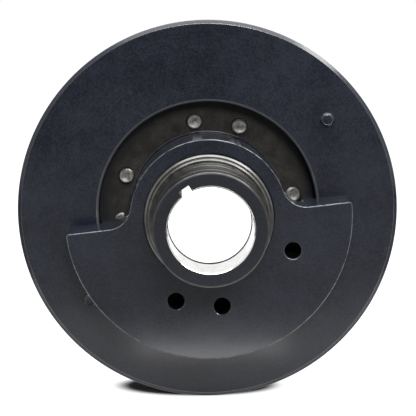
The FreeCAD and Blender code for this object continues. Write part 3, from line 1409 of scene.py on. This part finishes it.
class FastenerRing:
    """Geometry Nodes tree that sets a fastener at every place of the screw circle."""

    def __init__(self, circle: ScrewCircle) -> None:
        """Make the tree.

        Args:
            circle: The places.
        """
        self.circle = circle
        self.tree = bpy.data.node_groups.new("fastener_ring", "GeometryNodeTree")
        self.names: dict[str, str] = {}
        self.fill()

    def declare(self) -> Node:
        """Name the tree's inputs and its output.

        Returns:
            The group's input node.
        """
        face = self.tree.interface
        kinds = {
            "Fastener": "NodeSocketObject",
            "Longer fastener": "NodeSocketObject",
            "Circle radius": "NodeSocketFloat",
            "First middle": "NodeSocketFloat",
            "Half angle": "NodeSocketFloat",
            "Turn spread": "NodeSocketFloat",
            "Seed": "NodeSocketInt",
            "Finish": "NodeSocketMaterial",
        }
        for name, kind in kinds.items():
            item = face.new_socket(name, in_out="INPUT", socket_type=kind)
            self.names[name] = item.identifier
        face.new_socket("Geometry", in_out="OUTPUT", socket_type="NodeSocketGeometry")
        return self.tree.nodes.new("NodeGroupInput")

    def fill(self) -> None:
        """Put the nodes in."""
        graph = Graph(self.tree)
        given = self.declare()

        def value(name: str) -> Number:
            """One of the tree's inputs."""
            return Number(graph, given.outputs[name])

        def maths(operation: str, *numbers: Operand) -> Number:
            """One Math node that has no operator of its own."""
            return graph.add("ShaderNodeMath", {"operation": operation}, dict(enumerate(numbers)))

        index = graph.add("GeometryNodeInputIndex")
        pair = maths("FLOOR", index / 2.0)
        side = index - pair * 2.0
        aside = (side * 2.0 - 1.0) * value("Half angle")
        angle = value("First middle") + pair * (math.pi / 2) + aside
        radius = value("Circle radius")
        spot = graph.add(
            "ShaderNodeCombineXYZ",
            inputs={0: maths("COSINE", angle) * radius, 2: maths("SINE", angle) * radius},
        )
        count = self.circle.pairs * 2
        points = graph.add("GeometryNodePoints", inputs={"Count": count, "Position": spot})
        chance = graph.node(
            "FunctionNodeRandomValue", {"data_type": "FLOAT"}, {"Seed": value("Seed"), "ID": index}
        )
        drawn = chance.outputs["Value"]
        share = Number(graph, drawn if drawn.enabled else chance.outputs[1])
        spin = (share - 0.5) * value("Turn spread") - angle
        euler = graph.add("ShaderNodeCombineXYZ", inputs={1: spin})
        turn = graph.add("FunctionNodeEulerToRotation", inputs={0: euler})
        # Places 6, 7 and 0 lie in the counterweight's holes and take the longer fastener.
        is_long = maths("LESS_THAN", maths("MODULO", index + 2.0, float(count)), 2.5)
        joined = graph.node("GeometryNodeJoinGeometry")
        for name, chosen in (("Fastener", 1.0 - is_long), ("Longer fastener", is_long)):
            shape = graph.add(
                "GeometryNodeObjectInfo", inputs={"Object": value(name)}, output="Geometry"
            )
            placed = graph.add(
                "GeometryNodeInstanceOnPoints",
                inputs={"Points": points, "Selection": chosen, "Instance": shape, "Rotation": turn},
            )
            self.tree.links.new(placed.socket, joined.inputs[0])
        real = graph.add("GeometryNodeRealizeInstances", inputs={0: joined.outputs[0]})
        dressed = graph.add(
            "GeometryNodeSetMaterial", inputs={"Geometry": real, "Material": value("Finish")}
        )
        self.tree.links.new(dressed.socket, self.tree.nodes.new("NodeGroupOutput").inputs[0])

    def spread(
        self, name: str, short: Object, long: Object,
        finish: Material, turn_spread: float, seed: int,
    ) -> Object:
        """Set the fasteners and turn them into one plain mesh.

        Args:
            name: Name of the new piece.
            short: The fastener at most places.
            long: The fastener at the counterweight's holes.
            finish: Its material.
            turn_spread: How differently they are turned, in radians.
            seed: Seed of the random turns.

        Returns:
            The piece.
        """
        data = bpy.data.meshes.new(name)
        piece = bpy.data.objects.new(name, data)
        bpy.context.scene.collection.objects.link(piece)
        change = piece.modifiers.new("Spread", "NODES")
        change.node_group = self.tree
        values = {
            "Fastener": short,
            "Longer fastener": long,
            "Circle radius": self.circle.radius * MM,
            "First middle": math.radians(self.circle.first_middle),
            "Half angle": math.radians(self.circle.half_angle),
            "Turn spread": turn_spread,
            "Seed": seed,
            "Finish": finish,
        }
        for key, value in values.items():
            change[self.names[key]] = value
        piece.update_tag()
        bpy.context.view_layer.update()
        Workshop.applied(piece)
        for pattern in {short, long}:
            old = pattern.data
            bpy.data.objects.remove(pattern)
            bpy.data.meshes.remove(old)
        return piece


@dataclass
class Studio:
    """Camera, white floor and backdrop, and soft lamps."""

    floor: float = -100.0
    eye: tuple[float, float, float] = (-20.0, -845.5, 127.6)
    sight: tuple[float, float, float] = (0.0221, 0.990, -0.1389)
    lens: float = 149.3
    world_fill: float = 0.18
    # Middle of the painted contact shadow on the floor, in millimetres.
    painted_shadow_middle: Flat = (-5.0, 78.0)
    shade_from: float = 20.0
    shade_to: float = 26.5
    floor_colour: Colour = (0.32, 0.316, 0.31)
    floor_reach: float = 6.0
    mirror_from: float = 40.0
    mirror_to: float = 100.0
    cloth_colour: Colour = (0.03, 0.03, 0.035)
    cloth_middle: Corner = (0.0, -1.3, 0.6)
    cloth_reach: Flat = (1.8, 0.7)

    def camera(self) -> None:
        """Make the camera of the photograph's view."""
        data = bpy.data.cameras.new("camera")
        data.lens = self.lens
        data.sensor_width = 36.0
        data.clip_start = 0.05
        data.clip_end = 50.0
        camera = bpy.data.objects.new("camera", data)
        camera.location = [part * MM for part in self.eye]
        camera.rotation_mode = "QUATERNION"
        camera.rotation_quaternion = Vector(self.sight).to_track_quat("-Z", "Y")
        bpy.context.scene.collection.objects.link(camera)
        bpy.context.scene.camera = camera

    def ground(self) -> None:
        """Make the floor, which keeps the object's shadow and adds a painted contact shadow in an
        ellipse where it stands.
        """
        mesh = bmesh.new()
        bmesh.ops.create_grid(mesh, x_segments=2, y_segments=2, size=self.floor_reach)
        for vertex in mesh.verts:
            vertex.co.z = self.floor * MM
        floor = Workshop.add("floor", mesh)
        material, graph = empty_material("white_floor")
        rays = graph.node("ShaderNodeLightPath")
        seen = Number(graph, rays.outputs["Is Camera Ray"])
        mirrored = Number(graph, rays.outputs["Is Glossy Ray"])
        x, y, _ = graph.parts(graph.place())
        across = (x - self.painted_shadow_middle[0] * MM) * 0.55
        along = y - self.painted_shadow_middle[1] * MM
        away = (across * across + along * along) ** 0.5
        behind = y.step(self.mirror_from * MM, self.mirror_to * MM)
        lit = (seen + mirrored * behind).at_most(1.0)
        # Painted shadow: glow is left off in an ellipse round the contact, so the darker floor
        # colour shows there together with the object's real shadow.
        glow_here = away.step(self.shade_from * MM, self.shade_to * MM) * lit
        white = self.floor_colour + (1.0,)
        diffuse = graph.node("ShaderNodeBsdfDiffuse", inputs={"Color": white})
        glow = graph.node("ShaderNodeEmission", inputs={"Strength": glow_here})
        shaders = {0: diffuse.outputs[0], 1: glow.outputs[0]}
        both = graph.node("ShaderNodeAddShader", inputs=shaders)
        graph.node("ShaderNodeOutputMaterial", inputs={0: both.outputs[0]})
        floor.data.materials.append(material)

    def flag(self) -> None:
        """Hang a dark cloth behind the camera, as in a room that is dark on that side."""
        mesh = bmesh.new()
        bmesh.ops.create_grid(mesh, x_segments=1, y_segments=1, size=1.0)
        for vertex in mesh.verts:
            aside = vertex.co.x * self.cloth_reach[0]
            above = vertex.co.y * self.cloth_reach[1]
            vertex.co = Vector(self.cloth_middle) + Vector((aside, 0.0, above))
        cloth = Workshop.add("dark_cloth", mesh)
        material, graph = empty_material("dark_cloth")
        diffuse = graph.node("ShaderNodeBsdfDiffuse", inputs={"Color": self.cloth_colour + (1.0,)})
        graph.node("ShaderNodeOutputMaterial", inputs={0: diffuse.outputs[0]})
        cloth.data.materials.append(material)
        cloth.visible_camera = False

    def world(self) -> None:
        """White surroundings: full white where they are seen or mirrored, softer as light."""
        world = bpy.data.worlds.new("white_tent")
        world.use_nodes = True
        world.node_tree.nodes.clear()
        graph = Graph(world.node_tree)
        rays = graph.node("ShaderNodeLightPath")
        seen = Number(graph, rays.outputs["Is Camera Ray"])
        mirrored = Number(graph, rays.outputs["Is Glossy Ray"])
        through = Number(graph, rays.outputs["Is Transmission Ray"])
        shown = (seen + mirrored + through).at_most(1.0)
        sky = graph.node("ShaderNodeBackground", inputs={
            "Color": (1.0, 1.0, 1.0, 1.0),
            "Strength": shown * (1.0 - self.world_fill) + self.world_fill,
        })
        graph.node("ShaderNodeOutputWorld", inputs={0: sky.outputs[0]})
        bpy.context.scene.world = world

    def lamp(
        self, name: str, place: tuple[float, float, float], size: Flat, power: float,
        card: bool = False,
    ) -> None:
        """Hang one soft white lamp that looks at the pulley, or lay it down to shine upward.

        Args:
            name: Name of the lamp.
            place: Where it hangs, in metres.
            size: Lengths of its sides, in metres.
            power: Its power in watts.
            card: True for a white card that lies on the floor and is only seen mirrored.
        """
        data = bpy.data.lights.new(name, "AREA")
        data.shape = "RECTANGLE"
        data.size, data.size_y = size
        data.energy = power
        lamp = bpy.data.objects.new(name, data)
        lamp.location = place
        lamp.rotation_mode = "QUATERNION"
        lamp.visible_camera = False
        lamp.visible_diffuse = not card
        aim = Vector((0.0, 0.05, 0.0)) - Vector(place)
        lamp.rotation_quaternion = (0.0, 1.0, 0.0, 0.0) if card else aim.to_track_quat("-Z", "Y")
        bpy.context.scene.collection.objects.link(lamp)

    def build(self) -> None:
        """Set the whole studio up."""
        self.world()
        self.ground()
        self.flag()
        card = self.floor * MM + 0.0005
        self.lamp("front_lamp", (0.10, -1.05, 0.50), (0.28, 0.28), 4.6)
        self.lamp("top_lamp", (0.10, -0.12, 0.95), (1.3, 1.0), 18.0)
        self.lamp("right_lamp", (0.62, -0.20, 0.72), (0.22, 0.22), 2.4)
        self.lamp("wide_card", (0.0, -0.055, card), (0.42, 0.25), 0.33, True)
        self.lamp("bright_card", (0.005, -0.082, card + 0.0005), (0.09, 0.075), 0.085, True)
        self.camera()
        scene = bpy.context.scene
        scene.view_settings.view_transform = "Standard"


def dress_hidden_rings() -> None:
    """Give the damper's rings, which keep their CAD shapes, their finishes."""
    bronze = Machined("bush_bronze", (0.60, 0.42, 0.20), (0.38, 0.25, 0.11), 1.0, 0.34, 0.5)
    iron = Machined("ring_iron", (0.27, 0.26, 0.25), (0.13, 0.125, 0.12), 1.0, 0.46, 0.8)
    front = Machined("slide_plastic", (0.75, 0.72, 0.62), (0.62, 0.58, 0.48), 0.0, 0.5, 1.2)
    rear = Machined("slide_plastic_rear", (0.74, 0.71, 0.61), (0.60, 0.56, 0.47), 0.0, 0.5, 1.2)
    finishes = {
        "slide_bush": bronze,
        "inertia_ring": iron,
        "thrust_ring_front": front,
        "thrust_ring_rear": rear,
    }
    for name, finish in finishes.items():
        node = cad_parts[name]
        node.data.materials.clear()
        node.data.materials.append(finish.build())
        log.info("%s: CAD shape with finish %s", name, finish.name)


def main() -> None:
    """Build every piece, then the studio."""
    logging.basicConfig(level=logging.INFO, format="%(name)s %(message)s")
    circle = ScrewCircle()
    coat = BlackCoat("black_coat").build()
    holes = tuple(on_circle(circle.radius, angle) for angle in Counterweight.hole_angles)
    weight_coat = BlackCoat(
        "weight_coat", roughness=0.15, dust_share=0.08, wear=0.6, holes=holes
    ).build()
    # Lit and shaded copies of one coat: the upper plug's rim is worn nearly all round, a painted
    # highlight, and the lower plug's hardly, so it reads as in shade.
    plug_coats = (
        BlackCoat("plug_coat", wear=1.2, wear_gap=0.05).build(),
        BlackCoat("low_plug_coat", wear=0.2).build(),
    )
    zinc = BrightZinc("bright_zinc").build()
    cover_coat = BlackCoat("cover_coat", wear_gap=0.12).build()
    Workshop.dressed(DiscCover().build(), cover_coat, Slot.BLACK_PAINT, ["damper_cover"])
    Workshop.dressed(BeltRim().build(), coat, Slot.BLACK_PAINT, ["belt_pulley"])
    Workshop.dressed(DamperTrough().build(), coat, Slot.BLACK_PAINT, ["damper_housing"])
    Workshop.dressed(WebDisc().build(), coat, Slot.BLACK_PAINT, ["web_plate"])
    Workshop.dressed(Counterweight().build(), weight_coat, Slot.BLACK_PAINT, ["counterweight"])
    Workshop.dressed(Hub().build(), TurnedSteel("turned_steel").build(), Slot.BARE_STEEL, ["hub"])
    for number, angle in enumerate(PLUG_ANGLES, start=1):
        centre = on_circle(PLUG_CIRCLE, angle)
        plug = FillPlug(name="plug_button_%d" % number, centre=centre).build()
        Workshop.dressed(plug, plug_coats[number - 1], Slot.BLACK_PAINT, ["fill_plug_%d" % number])
    ring = FastenerRing(circle)
    numbers = circle.node_numbers()
    short = Screw().build("short_screw")
    # The long screws are painted as in shade below their seats.
    long = Screw(length=35.0, shaded_in_hole=True).build("long_screw")
    screws = ring.spread("hex_screws", short, long, zinc, math.radians(60), 7)
    Workshop.dressed(screws, zinc, Slot.SCREW_STEEL, ["screw_%d" % number for number in numbers])
    one = Washer().build()
    other = Washer(name="washer_pattern_two").build()
    washers = ring.spread("flat_washers", one, other, zinc, math.radians(360), 11)
    Workshop.dressed(washers, zinc, Slot.SCREW_STEEL, ["washer_%d" % number for number in numbers])
    dress_hidden_rings()
    Studio().build()


if __name__ == "__main__":
    main()
